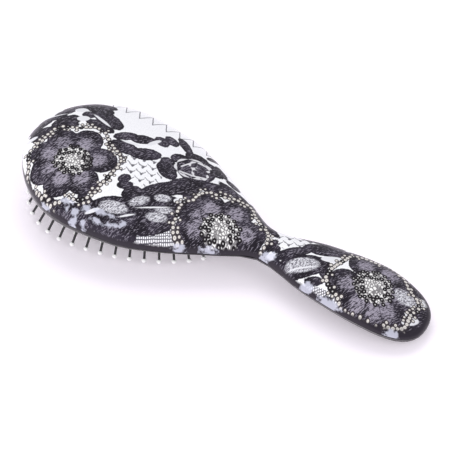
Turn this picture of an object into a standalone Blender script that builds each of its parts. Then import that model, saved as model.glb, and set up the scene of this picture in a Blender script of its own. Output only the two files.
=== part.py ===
"""Oval cushion hairbrush, lying on its pins and the end of its handle.

Run with: blender --background --python part.py. Units are metres, +Z is up, the toe of the head
is at the -X end and the middle of the brush is at X = 0. The floor is Z = 0.

The body is two mouldings that meet along a seam at the brush's widest line. The lower one has a flat
face with an opening, a domed rubber cushion fills the opening, and the pins stand on short carrier
strips behind the rubber. Each strip can be pressed into the cushion by itself.
"""

import math

import bmesh
import bpy
from mathutils import Matrix, Vector

MM = 0.001

# Plan of the body, measured from the toe
HEAD_LENGTH = 134.7 * MM        # toe to the middle of the neck
HANDLE_LENGTH = 85.3 * MM       # middle of the neck to the end
BRUSH_LENGTH = HEAD_LENGTH + HANDLE_LENGTH
TOE_AT = -BRUSH_LENGTH / 2      # every other place along the brush is measured from the toe
HEAD_WIDTH = 83.4 * MM
HEAD_WIDEST_AT = 45.2 * MM
NECK_WIDTH = 18.2 * MM
GRIP_WIDTH = 36.8 * MM
GRIP_TO_END = 30.0 * MM         # the handle is widest this far from its end
TOE_FULLNESS = 1.92             # exponent of the toe's outline, 2 is an ellipse
END_FULLNESS = 2.45

# Heights of the seam above the floor
SEAM_AT_TOE = 26.2 * MM
SEAM_AT_WIDEST = 21.6 * MM
SEAM_AT_SHOULDER = 16.2 * MM
SEAM_AT_NECK = 14.4 * MM
SEAM_AT_GRIP = 10.9 * MM
SEAM_AT_END = 5.2 * MM

# Rise of the back above the seam, and depth of the underside below it
CROWN_AT_TOE = 11.4 * MM
CROWN_AT_WIDEST = 14.3 * MM
CROWN_AT_SHOULDER = 12.7 * MM
CROWN_AT_NECK = 7.9 * MM
CROWN_AT_GRIP = 9.8 * MM
CROWN_AT_END = 5.6 * MM
BELLY_AT_NECK = 4.7 * MM
BELLY_AT_GRIP = 8.1 * MM
BELLY_AT_END = 7.6 * MM
HEAD_SQUARENESS = 2.32          # exponent of the cross-section, 2 is an ellipse
HANDLE_SQUARENESS = 2.15
TOE_ROUNDING = 17.6 * MM
END_ROUNDING = 13.7 * MM

# The flat face round the cushion
FACE_CENTRE_AT = 60.0 * MM
FACE_AT_TOE = 19.545 * MM       # heights of the face above the floor
FACE_AT_NECK = 12.485 * MM
FACE_TILT = math.atan((FACE_AT_TOE - FACE_AT_NECK) / HEAD_LENGTH)
FACE_HEIGHT = FACE_AT_TOE - math.tan(FACE_TILT) * FACE_CENTRE_AT
FACE_EDGE_RADIUS = 2.5 * MM
FACE_TOE_RADIUS = 3.6 * MM
FACE_TO_NECK = 16.8 * MM        # the face ends this far before the middle of the neck

# Opening in the face, and what sits in it
FRAME_WIDTH = 5.0 * MM          # widest line of the head to the opening
TOE_FRAME = 7.0 * MM
OPENING_TAPER = 0.7631          # the opening ends this share of the way from the widest line to the neck
OPENING_TO_NECK = (1 - OPENING_TAPER) * (HEAD_LENGTH - HEAD_WIDEST_AT)
OPENING_TOE_FULLNESS = 2.0
OPENING_NECK_FULLNESS = 1.78
WALL = 1.8 * MM
LEAST_HOLLOW = 0.5 * MM         # the lower moulding is hollowed at least this deep
GAP = 0.3 * MM
PAD_THICKNESS = 1.2 * MM
PAD_RISE = 6.4 * MM
FLANGE_WIDTH = 2.0 * MM
VENT_RADIUS = 1.0 * MM
PLATE_HEIGHT = 6.7 * MM         # top of the backing plate above the face
PLATE_THICKNESS = 1.2 * MM
PLATE_RIM = 1.5 * MM

# Pins
TIP_RISE = 7.6 * MM             # tips at the opening's edge stand this much higher than the middle ones
PIN_PITCH = 6.8 * MM
PIN_ROOT_RADIUS = 0.62 * MM
PIN_TIP_RADIUS = 0.5 * MM
BALL_RADIUS = 0.95 * MM
PIN_SIDES = 6
STRIP_WIDTH = 2.2 * MM
STRIP_THICKNESS = 1.0 * MM
STRIP_END = 1.3 * MM            # strip past its last pin
STRIP_GAP = 0.8 * MM            # room between the strip and the curved rubber
RINGS = (("outer", 8), ("second", 6), ("third", 4), ("fourth", 2), ("centre", 2))
FIRST_RING_INSET = 3.0 * MM
LAST_RING_HALF_WIDTH = 6.0 * MM
UPRIGHT_AT = 70.0 * MM          # pins stand upright to the face here
TOE_LEAN = 0.95                 # sideways shift per unit of height at the ends and sides
NECK_LEAN = 0.36
SIDE_LEAN = 0.55

# Bosses that join the two mouldings, and posts that hold the backing plate down
HANDLE_BOSSES = (22.0 * MM, 46.0 * MM, 68.0 * MM)   # from the middle of the neck
BOSS_RADIUS = 3.0 * MM
PEG_RADIUS = 1.5 * MM
PEG_DEPTH = 3.0 * MM
POST_RADIUS = 2.2 * MM
POST_SPREAD_X = 26.0 * MM
POST_SPREAD_Y = 17.0 * MM

STATIONS = round(BRUSH_LENGTH / (5 * MM))
BACK_POINTS = 15
CORNER_POINTS = 5
FACE_POINTS = 4
OUTLINE_POINTS = 40


def clear_scene():
    for obj in list(bpy.data.objects):
        bpy.data.objects.remove(obj, do_unlink=True)


def new_collection(name):
    collection = bpy.data.collections.new(name)
    bpy.context.scene.collection.children.link(collection)
    return collection


def new_material(name, colour, roughness, metallic=0.0):
    material = bpy.data.materials.new(name)
    material.use_nodes = True
    shader = material.node_tree.nodes["Principled BSDF"]
    shader.inputs["Base Color"].default_value = (*colour, 1.0)
    shader.inputs["Roughness"].default_value = roughness
    shader.inputs["Metallic"].default_value = metallic
    return material


def smooth_through(places, values):
    """A smooth curve through the stations that never overshoots them, as a function of x."""
    steps = [b - a for a, b in zip(places, places[1:])]
    slopes = [(b - a) / step for a, b, step in zip(values, values[1:], steps)]
    tangents = [slopes[0]]
    for i in range(1, len(slopes)):
        before, after = slopes[i - 1], slopes[i]
        if before * after <= 0:
            tangents.append(0.0)
            continue
        share_before = 2 * steps[i] + steps[i - 1]
        share_after = steps[i] + 2 * steps[i - 1]
        total = share_before + share_after
        tangents.append(total / (share_before / before + share_after / after))
    tangents.append(slopes[-1])

    def at(x):
        x = min(max(x, places[0]), places[-1])
        i = max(k for k in range(len(steps)) if x >= places[k])
        t = (x - places[i]) / steps[i]
        bend = (2 * t**3 - 3 * t**2 + 1) * values[i] + (3 * t**2 - 2 * t**3) * values[i + 1]
        pull = (t**3 - 2 * t**2 + t) * tangents[i] + (t**3 - t**2) * tangents[i + 1]
        return bend + pull * steps[i]

    return at


def rounding(distance, radius):
    """0 at an end of the body, rising as a quarter circle to 1 at radius from it."""
    t = min(max(distance / radius, 0.0), 1.0)
    return math.sqrt(1 - (1 - t) ** 2)


SHOULDER_AT = HEAD_WIDEST_AT + 0.62 * (HEAD_LENGTH - HEAD_WIDEST_AT)
GRIP_AT = BRUSH_LENGTH - GRIP_TO_END
MIDDLES = (0.28, 0.53, 0.77)            # shares of the way from the widest place to the neck
MIDDLE_WIDTHS = (0.94, 0.73, 0.45)      # shares of the head's width there

flank = smooth_through(
    [HEAD_WIDEST_AT - MM, HEAD_WIDEST_AT]
    + [HEAD_WIDEST_AT + share * (HEAD_LENGTH - HEAD_WIDEST_AT) for share in MIDDLES]
    + [HEAD_LENGTH, (HEAD_LENGTH + GRIP_AT) / 2, GRIP_AT, GRIP_AT + MM],
    [HEAD_WIDTH / 2, HEAD_WIDTH / 2]
    + [share * HEAD_WIDTH / 2 for share in MIDDLE_WIDTHS]
    + [NECK_WIDTH / 2, 0.15 * NECK_WIDTH + 0.35 * GRIP_WIDTH, GRIP_WIDTH / 2, GRIP_WIDTH / 2],
)
seam_height = smooth_through(
    [0, HEAD_WIDEST_AT, SHOULDER_AT, HEAD_LENGTH, GRIP_AT, BRUSH_LENGTH],
    [SEAM_AT_TOE, SEAM_AT_WIDEST, SEAM_AT_SHOULDER, SEAM_AT_NECK, SEAM_AT_GRIP, SEAM_AT_END],
)
crown_rise = smooth_through(
    [0, HEAD_WIDEST_AT, SHOULDER_AT, HEAD_LENGTH, GRIP_AT, BRUSH_LENGTH - END_ROUNDING],
    [CROWN_AT_TOE, CROWN_AT_WIDEST, CROWN_AT_SHOULDER, CROWN_AT_NECK, CROWN_AT_GRIP, CROWN_AT_END],
)
handle_depth = smooth_through(
    [HEAD_LENGTH, GRIP_AT, BRUSH_LENGTH - END_ROUNDING],
    [BELLY_AT_NECK, BELLY_AT_GRIP, BELLY_AT_END],
)


def half_width(x):
    """Half the body's width on its seam."""
    if x < HEAD_WIDEST_AT:
        share = max(1 - x / HEAD_WIDEST_AT, 0.0)
        return HEAD_WIDTH / 2 * (1 - share**TOE_FULLNESS) ** (1 / TOE_FULLNESS)
    if x > GRIP_AT:
        share = min((x - GRIP_AT) / GRIP_TO_END, 1.0)
        return GRIP_WIDTH / 2 * (1 - share**END_FULLNESS) ** (1 / END_FULLNESS)
    return flank(x)


def face_height(x):
    return FACE_HEIGHT - math.tan(FACE_TILT) * (x - FACE_CENTRE_AT)


def handle_share(x):
    """0 on the head, where the underside is the flat face, and 1 from the neck on."""
    start = HEAD_LENGTH - FACE_TO_NECK
    t = min(max((x - start) / FACE_TO_NECK, 0.0), 1.0)
    return t * t * (3 - 2 * t)


def underside_height(x):
    """Height of the body's lowest line, before its ends are rounded."""
    share = handle_share(x)
    handle = seam_height(x) - handle_depth(x)
    return (1 - share) * face_height(x) + share * handle


def wall_in(size, wall):
    """A size of the body less its wall, shrinking to nothing together with the size."""
    return size * (1 - wall / max(size, 3 * WALL))


def place_along(x, wall):
    """Where the outer section at x goes on the surface that lies wall inside it."""
    return wall + x * (BRUSH_LENGTH - 2 * wall) / BRUSH_LENGTH


def back_section(x, wall=0.0):
    """Points of the back's cross-section, from one seam over the top to the other."""
    place = place_along(x, wall)
    width = wall_in(half_width(x), wall)
    rise = wall_in(crown_rise(place), wall) * rounding(x, TOE_ROUNDING)
    rise *= rounding(BRUSH_LENGTH - x, END_ROUNDING)
    squareness = HEAD_SQUARENESS + (HANDLE_SQUARENESS - HEAD_SQUARENESS) * handle_share(x)
    points = []
    for i in range(BACK_POINTS):
        angle = math.pi * i / (BACK_POINTS - 1)
        across = math.copysign(abs(math.cos(angle)) ** (2 / squareness), math.cos(angle))
        up = abs(math.sin(angle)) ** (2 / squareness)
        height = seam_height(place) + GAP + rise * up
        points.append(Vector((TOE_AT + place, -width * across, height)))
    return points


def underside_section(x, wall=0.0):
    """Points of the underside's cross-section, from one seam under the brush to the other."""
    place = place_along(x, wall)
    width = wall_in(half_width(x), wall)
    depth = seam_height(place) - underside_height(place) - wall
    if wall:
        depth = max(depth, LEAST_HOLLOW)
    depth *= rounding(x, FACE_TOE_RADIUS) * rounding(BRUSH_LENGTH - x, END_ROUNDING)
    share = handle_share(x)
    corner = min(FACE_EDGE_RADIUS - wall, width) * (1 - share) + width * share
    side = []
    for i in range(CORNER_POINTS):
        angle = math.pi / 2 * i / (CORNER_POINTS - 1)
        y = width - corner * (1 - math.cos(angle))
        side.append((y, seam_height(place) - depth * math.sin(angle)))
    flat = width - corner
    middle = []
    for i in range(1, FACE_POINTS):
        middle.append((flat * (1 - 2 * i / FACE_POINTS), seam_height(place) - depth))
    other_side = [(-y, z) for y, z in reversed(side)]
    return [Vector((TOE_AT + place, -y, z)) for y, z in side + middle + other_side]


def body_stations():
    """Places along the body, closer together towards both ends."""
    angles = [math.pi * i / STATIONS for i in range(1, STATIONS)]
    return [BRUSH_LENGTH * (1 - math.cos(angle)) / 2 for angle in angles]


def opening_outline(inset):
    """Outline of the face's opening moved inwards by inset, in the face's own frame."""
    middle = HEAD_WIDEST_AT - FACE_CENTRE_AT
    toe_reach = HEAD_WIDEST_AT - TOE_FRAME - inset
    neck_reach = HEAD_LENGTH - OPENING_TO_NECK - HEAD_WIDEST_AT - inset
    reach_across = HEAD_WIDTH / 2 - FRAME_WIDTH - inset

    def at(turn):
        along = math.cos(2 * math.pi * turn)
        across = math.sin(2 * math.pi * turn)
        reach = neck_reach if along > 0 else toe_reach
        power = 2 / (OPENING_NECK_FULLNESS if along > 0 else OPENING_TOE_FULLNESS)
        x = middle + reach * math.copysign(abs(along) ** power, along)
        y = reach_across * math.copysign(abs(across) ** power, across)
        return Vector((x, y, 0))

    return at


def evenly_along(outline, count):
    """Points spread evenly by length round a closed outline, starting at the neck end."""
    fine = [outline(i / 720) for i in range(721)]
    travelled = [0.0]
    for a, b in zip(fine, fine[1:]):
        travelled.append(travelled[-1] + (b - a).length)
    points = []
    k = 0
    for i in range(count):
        wanted = travelled[-1] * i / count
        while travelled[k + 1] < wanted:
            k += 1
        share = (wanted - travelled[k]) / (travelled[k + 1] - travelled[k])
        points.append(fine[k].lerp(fine[k + 1], share))
    return points


def outline_length(outline):
    fine = [outline(i / 720) for i in range(721)]
    return sum((b - a).length for a, b in zip(fine, fine[1:]))


def dome_drop(inset):
    """How far the cushion stands out of the face, inset from the opening's edge."""
    across = HEAD_WIDTH / 2 - FRAME_WIDTH
    return PAD_RISE * (1 - (1 - inset / across) ** 2)


def object_from(bm, name, collection, material=None, smooth=True):
    """Closes a bmesh into a named object in the collection."""
    bmesh.ops.recalc_face_normals(bm, faces=bm.faces)
    mesh = bpy.data.meshes.new(name)
    bm.to_mesh(mesh)
    bm.free()
    if smooth:
        mesh.shade_smooth()
        mesh.set_sharp_from_angle(angle=math.radians(35))
    obj = bpy.data.objects.new(name, mesh)
    if material:
        mesh.materials.append(material)
    collection.objects.link(obj)
    return obj


def lofted_rows(bm, rows):
    """Faces between each closed row of points and the next. Returns the first and last rows."""
    grid = [[bm.verts.new(point) for point in row] for row in rows]
    count = len(grid[0])
    for row, following in zip(grid, grid[1:]):
        for i in range(count):
            j = (i + 1) % count
            bm.faces.new((row[i], row[j], following[j], following[i]))
    return grid[0], grid[-1]


def lofted_solid(rows, first_point, last_point):
    """A closed solid through closed rows of points, drawn to a point at both ends."""
    bm = bmesh.new()
    for tip, row in zip((first_point, last_point), lofted_rows(bm, rows)):
        pole = bm.verts.new(tip)
        for a, b in zip(row, row[1:] + row[:1]):
            bm.faces.new((pole, a, b))
    return bm


def stacked_loops(rows):
    """A closed solid through closed rows of points, with its first and last row filled."""
    bm = bmesh.new()
    for row in lofted_rows(bm, rows):
        bm.faces.new(row)
    return bm


def hollow_rows(section, past_seam):
    """Rows of the hollow inside a moulding, carried past its seam so that the seam is cut open."""
    rows = []
    for x in body_stations()[2:-2]:
        row = section(x, WALL)
        past = Vector((0, 0, past_seam))
        rows.append(row + [row[-1] + past, row[0] + past])
    return rows


def make_moulding(name, section, seam_gap, past_seam, colour, parts, cutters):
    """One half of the body: a solid loft up to the seam with its hollow cut out."""
    ends = []
    for x in (0, BRUSH_LENGTH):
        ends.append(Vector((TOE_AT + x, 0, seam_height(x) + seam_gap)))
    rows = [section(x) for x in body_stations()]
    material = new_material(name, colour, 0.2)
    moulding = object_from(lofted_solid(rows, *ends), name, parts, material)
    hollow_ends = []
    for x in (WALL, BRUSH_LENGTH - WALL):
        hollow_ends.append(Vector((TOE_AT + x, 0, seam_height(x) + seam_gap + past_seam / 2)))
    hollow = object_from(
        lofted_solid(hollow_rows(section, past_seam), *hollow_ends), name + "_hollow", cutters,
    )
    add_boolean(moulding, "DIFFERENCE", hollow)
    return moulding


def raised(points, height):
    return [point + Vector((0, 0, height)) for point in points]


def cylinder(name, collection, radius, bottom, top, sides=16):
    """An upright cylinder between two points."""
    bm = bmesh.new()
    middle = (bottom + top) / 2
    bmesh.ops.create_cone(
        bm, cap_ends=True, segments=sides, radius1=radius, radius2=radius,
        depth=(top - bottom).length, matrix=Matrix.Translation(middle),
    )
    return object_from(bm, name, collection)


def as_cutter(obj):
    obj.hide_render = True
    obj.display_type = "WIRE"
    return obj


def add_boolean(obj, operation, other):
    modifier = obj.modifiers.new(operation.title() + " " + other.name, "BOOLEAN")
    modifier.operation = operation
    modifier.solver = "EXACT"
    modifier.object = as_cutter(other)


def make_shells(parts, cutters, head_frame):
    """The two body mouldings, with their bosses, pegs and posts."""
    back = make_moulding(
        "back_shell", back_section, GAP, -WALL, (0.16, 0.14, 0.17), parts, cutters,
    )
    front = make_moulding(
        "front_shell", underside_section, 0.0, WALL, (0.12, 0.11, 0.13), parts, cutters,
    )

    edge = evenly_along(opening_outline(0), OUTLINE_POINTS)
    depth = FACE_EDGE_RADIUS + 2 * WALL
    opening = object_from(
        stacked_loops([raised(edge, -depth), raised(edge, depth)]), "face_opening", cutters,
    )
    opening.parent = head_frame
    add_boolean(front, "DIFFERENCE", opening)

    for i, from_neck in enumerate(HANDLE_BOSSES, 1):
        x = HEAD_LENGTH + from_neck
        seam = seam_height(x)

        def point(height):
            return Vector((TOE_AT + x, 0, height))

        crown = point(seam + GAP + crown_rise(x) - WALL / 2)
        floor = point(underside_height(x) + WALL / 2)
        boss = cylinder(f"boss_{i}", cutters, BOSS_RADIUS, point(seam + GAP), crown)
        add_boolean(back, "UNION", boss)
        bore = cylinder(
            f"bore_{i}", cutters, PEG_RADIUS + GAP,
            point(seam - WALL), point(seam + PEG_DEPTH + 2 * GAP),
        )
        add_boolean(back, "DIFFERENCE", bore)
        stem = cylinder(f"stem_{i}", cutters, BOSS_RADIUS, floor, point(seam))
        add_boolean(front, "UNION", stem)
        peg = cylinder(f"peg_{i}", cutters, PEG_RADIUS, point(seam - WALL), point(seam + PEG_DEPTH))
        add_boolean(front, "UNION", peg)

    for i, (side_x, side_y) in enumerate(((-1, -1), (-1, 1), (1, -1), (1, 1)), 1):
        x = FACE_CENTRE_AT + side_x * POST_SPREAD_X
        y = side_y * POST_SPREAD_Y
        share = (abs(y) / half_width(x)) ** HEAD_SQUARENESS
        crown = seam_height(x) + GAP + crown_rise(x) * (1 - share) ** (1 / HEAD_SQUARENESS)
        foot = face_height(x) + PLATE_HEIGHT + GAP + math.tan(FACE_TILT) * POST_RADIUS
        bottom = Vector((TOE_AT + x, y, foot))
        top = Vector((TOE_AT + x, y, crown - WALL / 2))
        post = cylinder(f"post_{i}", cutters, POST_RADIUS, bottom, top)
        add_boolean(back, "UNION", post)
    return back, front


def pad_loops():
    """Loops of the cushion: round its flange, out through the opening, over the dome, and back inside."""
    across = HEAD_WIDTH / 2 - FRAME_WIDTH
    insets = [GAP + (across - GAP) * share for share in (0, 0.14, 0.34, 0.6, 0.86)]
    seat = WALL + GAP
    loops = [(-FLANGE_WIDTH, seat + PAD_THICKNESS), (-FLANGE_WIDTH, seat), (GAP, seat)]
    loops += [(inset, -dome_drop(inset)) for inset in insets]
    return loops, insets


def make_pad(parts, cutters, head_frame, pins):
    loops, insets = pad_loops()
    seat = WALL + GAP
    inner = [(inset + PAD_THICKNESS, PAD_THICKNESS - dome_drop(inset)) for inset in insets[:1]]
    inner += [(inset, PAD_THICKNESS - dome_drop(inset)) for inset in insets[1:]]
    outside = [raised(evenly_along(opening_outline(i), OUTLINE_POINTS), z) for i, z in loops]
    inside = [raised(evenly_along(opening_outline(i), OUTLINE_POINTS), z) for i, z in inner]
    shoulder = raised(
        evenly_along(opening_outline(GAP + PAD_THICKNESS), OUTLINE_POINTS), seat + PAD_THICKNESS
    )
    all_loops = list(reversed(outside)) + [shoulder] + inside
    pad = object_from(
        stacked_loops(all_loops), "cushion_pad", parts,
        new_material("cushion_pad", (0.02, 0.02, 0.022), 0.55),
    )
    pad.parent = head_frame

    holes = bmesh.new()
    for base, direction in pins:
        turn = direction.to_track_quat("Z", "Y").to_matrix().to_4x4()
        middle = base - direction * (PAD_THICKNESS / 2)
        bmesh.ops.create_cone(
            holes, cap_ends=True, segments=PIN_SIDES, radius1=PIN_ROOT_RADIUS + GAP,
            radius2=PIN_ROOT_RADIUS + GAP, depth=4 * PAD_THICKNESS,
            matrix=Matrix.Translation(middle) @ turn,
        )
    vent_at = opening_outline((FIRST_RING_INSET + ring_inset(1)) / 2)(0.5)
    bmesh.ops.create_cone(
        holes, cap_ends=True, segments=12, radius1=VENT_RADIUS, radius2=VENT_RADIUS,
        depth=8 * PAD_THICKNESS, matrix=Matrix.Translation(vent_at),
    )
    cutter = object_from(holes, "pin_holes", cutters)
    cutter.parent = head_frame
    add_boolean(pad, "DIFFERENCE", cutter)


def make_backing_plate(parts, head_frame):
    """A shallow tray behind the cushion: its rim presses on the flange, its floor closes the chamber."""
    outer = evenly_along(opening_outline(-FLANGE_WIDTH), OUTLINE_POINTS)
    inner = evenly_along(opening_outline(PLATE_RIM - FLANGE_WIDTH), OUTLINE_POINTS)
    foot = WALL + GAP + PAD_THICKNESS + GAP
    loops = [
        raised(inner, PLATE_HEIGHT - PLATE_THICKNESS), raised(inner, foot),
        raised(outer, foot), raised(outer, PLATE_HEIGHT),
    ]
    plate = object_from(
        stacked_loops(loops), "backing_plate", parts,
        new_material("backing_plate", (0.1, 0.1, 0.1), 0.5),
    )
    plate.parent = head_frame


def ring_inset(ring):
    across = HEAD_WIDTH / 2 - FRAME_WIDTH
    spacing = (across - FIRST_RING_INSET - LAST_RING_HALF_WIDTH) / (len(RINGS) - 1)
    return FIRST_RING_INSET + ring * spacing


def pin_direction(base):
    """The way a pin points: down out of the face, leaning outwards from the middle of the head."""
    from_upright = base.x + FACE_CENTRE_AT - UPRIGHT_AT
    toe_reach = UPRIGHT_AT - TOE_FRAME
    neck_reach = HEAD_LENGTH - OPENING_TO_NECK - UPRIGHT_AT
    lean_x = from_upright * (NECK_LEAN / neck_reach if from_upright > 0 else TOE_LEAN / toe_reach)
    lean_y = SIDE_LEAN * base.y / (HEAD_WIDTH / 2 - FRAME_WIDTH)
    return Vector((lean_x, lean_y, -1)).normalized()


def pin_reach(base, direction):
    """Rubber to the middle of the ball, so that all tips lie on one dome that is level on the floor."""
    start = FACE_HEIGHT + base.z * math.cos(FACE_TILT) - base.x * math.sin(FACE_TILT)
    fall = direction.x * math.sin(FACE_TILT) - direction.z * math.cos(FACE_TILT)
    tip = BALL_RADIUS + TIP_RISE * (1 + base.z / dome_drop(ring_inset(len(RINGS) - 1)))
    return (start - tip) / fall


def ring_pins(ring):
    """(base on the rubber, direction) of each pin of a ring, in the face's frame."""
    inset = ring_inset(ring)
    outline = opening_outline(inset)
    count = round(outline_length(outline) / PIN_PITCH)
    bases = raised(evenly_along(outline, count), -dome_drop(inset))
    return [(base, pin_direction(base)) for base in bases]


def add_pin(bm, root, direction, reach):
    """A tapering pin with a ball on its end: circles along its axis, bridged and closed."""
    turn = direction.to_track_quat("Z", "Y").to_matrix().to_4x4()
    neck = reach - 0.8 * BALL_RADIUS
    profile = [
        (0, PIN_ROOT_RADIUS), (neck, PIN_TIP_RADIUS), (reach, BALL_RADIUS),
        (reach + 0.9 * BALL_RADIUS, 0.5 * BALL_RADIUS),
    ]
    rings = []
    for along, radius in profile:
        place = Matrix.Translation(root + direction * along) @ turn
        made = bmesh.ops.create_circle(bm, segments=PIN_SIDES, radius=radius, matrix=place)
        rings.append(list({edge for vert in made["verts"] for edge in vert.link_edges}))
    for lower, upper in zip(rings, rings[1:]):
        bmesh.ops.bridge_loops(bm, edges=lower + upper)
    bmesh.ops.contextual_create(bm, geom=rings[0])
    bmesh.ops.contextual_create(bm, geom=rings[-1])


def strip_loops(path):
    """Rectangles across the strip at each point of its path, with both ends drawn out a little."""
    first = path[0] + (path[0] - path[1]).normalized() * STRIP_END
    last = path[-1] + (path[-1] - path[-2]).normalized() * STRIP_END
    places = [first] + path[1:-1] + [last]
    loops = []
    for i, place in enumerate(places):
        before = places[max(i - 1, 0)]
        after = places[min(i + 1, len(places) - 1)]
        along = (after - before).normalized()
        across = Vector((along.y, -along.x, 0)).normalized() * STRIP_WIDTH / 2
        up = Vector((0, 0, STRIP_THICKNESS / 2))
        loops.append([place - across - up, place + across - up, place + across + up, place - across + up])
    return loops


def make_strip(name, pins, parts, cutters, head_frame, material):
    """One carrier strip with its pins, its origin in the middle of the strip on its slide axis."""
    behind = PAD_THICKNESS + STRIP_GAP + STRIP_THICKNESS / 2
    path = [base - direction * (behind / -direction.z) for base, direction in pins]
    origin = sum(path, Vector()) / len(path)
    strip = object_from(
        stacked_loops([[p - origin for p in loop] for loop in strip_loops(path)]), name, parts, material,
    )
    bm = bmesh.new()
    for root, (base, direction) in zip(path, pins):
        add_pin(bm, root - origin, direction, (base - root).length + pin_reach(base, direction))
    shafts = object_from(bm, name + "_shafts", cutters)
    add_boolean(strip, "UNION", shafts)
    for obj in (strip, shafts):
        obj.parent = head_frame
        obj.location = origin


def make_pins(parts, cutters, head_frame):
    """Every ring of pins, each shared out between its strips. Returns all the pins."""
    every_pin = []
    for ring, (ring_name, strips) in enumerate(RINGS):
        pins = ring_pins(ring)
        every_pin += pins
        for i in range(strips):
            start = round(len(pins) * i / strips)
            stop = round(len(pins) * (i + 1) / strips)
            name = f"{ring_name}_pin_strip_{i + 1}"
            material = new_material(name, (0.015, 0.015, 0.017), 0.4)
            make_strip(name, pins[start:stop], parts, cutters, head_frame, material)
    return every_pin


def main():
    clear_scene()
    parts = new_collection("hairbrush")
    cutters = new_collection("cutters")
    head_frame = bpy.data.objects.new("head_frame", None)
    head_frame.location = (TOE_AT + FACE_CENTRE_AT, 0, FACE_HEIGHT)
    head_frame.rotation_euler = (0, FACE_TILT, 0)
    parts.objects.link(head_frame)
    make_shells(parts, cutters, head_frame)
    pins = make_pins(parts, cutters, head_frame)
    make_pad(parts, cutters, head_frame, pins)
    make_backing_plate(parts, head_frame)


main()
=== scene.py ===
import math

import bmesh
import bpy
import numpy as np
from mathutils import Matrix, Vector


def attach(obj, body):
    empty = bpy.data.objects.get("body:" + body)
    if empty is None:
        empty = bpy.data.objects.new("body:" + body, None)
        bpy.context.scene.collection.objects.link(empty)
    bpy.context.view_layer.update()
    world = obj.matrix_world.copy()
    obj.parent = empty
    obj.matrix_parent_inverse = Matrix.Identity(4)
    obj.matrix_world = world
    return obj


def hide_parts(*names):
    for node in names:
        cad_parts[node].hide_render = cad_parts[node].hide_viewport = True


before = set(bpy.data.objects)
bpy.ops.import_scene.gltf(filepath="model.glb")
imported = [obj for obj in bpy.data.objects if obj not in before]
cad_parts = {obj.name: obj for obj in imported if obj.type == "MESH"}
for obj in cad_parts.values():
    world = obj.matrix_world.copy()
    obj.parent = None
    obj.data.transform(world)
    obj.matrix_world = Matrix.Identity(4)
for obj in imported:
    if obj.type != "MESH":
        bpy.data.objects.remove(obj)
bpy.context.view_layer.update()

MM = 0.001

# The body's sizes in millimetres, as the CAD part has them
HEAD_LENGTH = 134.7
BRUSH_LENGTH = 220.0
HEAD_WIDTH = 83.4
HEAD_WIDEST_AT = 45.2
NECK_WIDTH = 18.2
GRIP_WIDTH = 36.8
GRIP_TO_END = 30.0
TOE_FULLNESS = 1.92
END_FULLNESS = 2.45
HEAD_SQUARENESS = 2.32
HANDLE_SQUARENESS = 2.15
TOE_ROUNDING = 17.6
END_ROUNDING = 13.7
FACE_CENTRE_AT = 60.0
FACE_HEIGHT = 16.4
FACE_TILT = math.radians(3.0)
FACE_TO_NECK = 16.8
FRAME_WIDTH = 5.0
TOE_FRAME = 7.0
OPENING_TO_NECK = 21.2
OPENING_TOE_FULLNESS = 2.0
OPENING_NECK_FULLNESS = 1.78
WALL = 1.8
GAP = 0.3
PAD_THICKNESS = 1.2
PAD_RISE = 6.4
PIN_PITCH = 6.8
STRIP_GAP = 0.8
STRIP_WIDTH = 2.2
STRIP_THICKNESS = 1.0
STRIP_OVERLAP = 2.4
RINGS = (("outer", 8), ("second", 6), ("third", 4), ("fourth", 2), ("centre", 2))
FIRST_RING_INSET = 3.0
LAST_RING_HALF_WIDTH = 6.0

# The pins: thicker and less splayed than the CAD part's, their outer tips nearer the floor
TIP_RISE = 3.0
UPRIGHT_AT = 68.0
TOE_LEAN = 0.55
NECK_LEAN = 0.33
SIDE_LEAN = 0.34
PIN_ROOT_RADIUS = 0.72
PIN_TIP_RADIUS = 0.62
PIN_SIDES = 14
BALL_RADIUS = 1.25
COLLAR_ROOT_RADIUS = 1.35
COLLAR_TIP_RADIUS = 0.85
COLLAR_HEIGHT = 0.9
COLLAR_STANDS_OUT = 0.15

# The back's edge turns in along the seam, towards a line between these two places
SPINE_FROM = -66.0
SPINE_TO = 84.0
SEAM_LIP = 0.9 * WALL
FLANGE_REACH = 2.0

# How finely the shapes are laid out
OUTLINE_STEPS = 720
BACK_ROWS = 556
BACK_COLUMNS = 172
CUSHION_COLUMNS = 200
SHARP_ANGLE = math.radians(40)

GRIP_AT = BRUSH_LENGTH - GRIP_TO_END
TAPER = HEAD_LENGTH - HEAD_WIDEST_AT
SHOULDER_AT = HEAD_WIDEST_AT + 0.62 * TAPER
HALF = HEAD_WIDTH / 2
OPENING_HALF = HALF - FRAME_WIDTH


def smooth_through(places, values):
    """A smooth curve through the stations, never past them, as a function of x."""
    steps = [b - a for a, b in zip(places, places[1:])]
    slopes = [(b - a) / step for a, b, step in zip(values, values[1:], steps)]
    tangents = [slopes[0]]
    for i in range(1, len(slopes)):
        before, after = slopes[i - 1], slopes[i]
        if before * after <= 0:
            tangents.append(0.0)
            continue
        share_before = 2 * steps[i] + steps[i - 1]
        share_after = steps[i] + 2 * steps[i - 1]
        total = share_before + share_after
        tangents.append(total / (share_before / before + share_after / after))
    tangents.append(slopes[-1])

    def at(x):
        x = min(max(x, places[0]), places[-1])
        i = max(k for k in range(len(steps)) if x >= places[k])
        t = (x - places[i]) / steps[i]
        bend = (2 * t**3 - 3 * t**2 + 1) * values[i]
        bend += (3 * t**2 - 2 * t**3) * values[i + 1]
        pull = (t**3 - 2 * t**2 + t) * tangents[i] + (t**3 - t**2) * tangents[i + 1]
        return bend + pull * steps[i]

    return at


def rounding(distance, radius):
    """A quarter circle from 0 at the end of the brush to 1 at the radius."""
    t = min(max(distance / radius, 0.0), 1.0)
    return math.sqrt(1 - (1 - t) ** 2)


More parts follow.
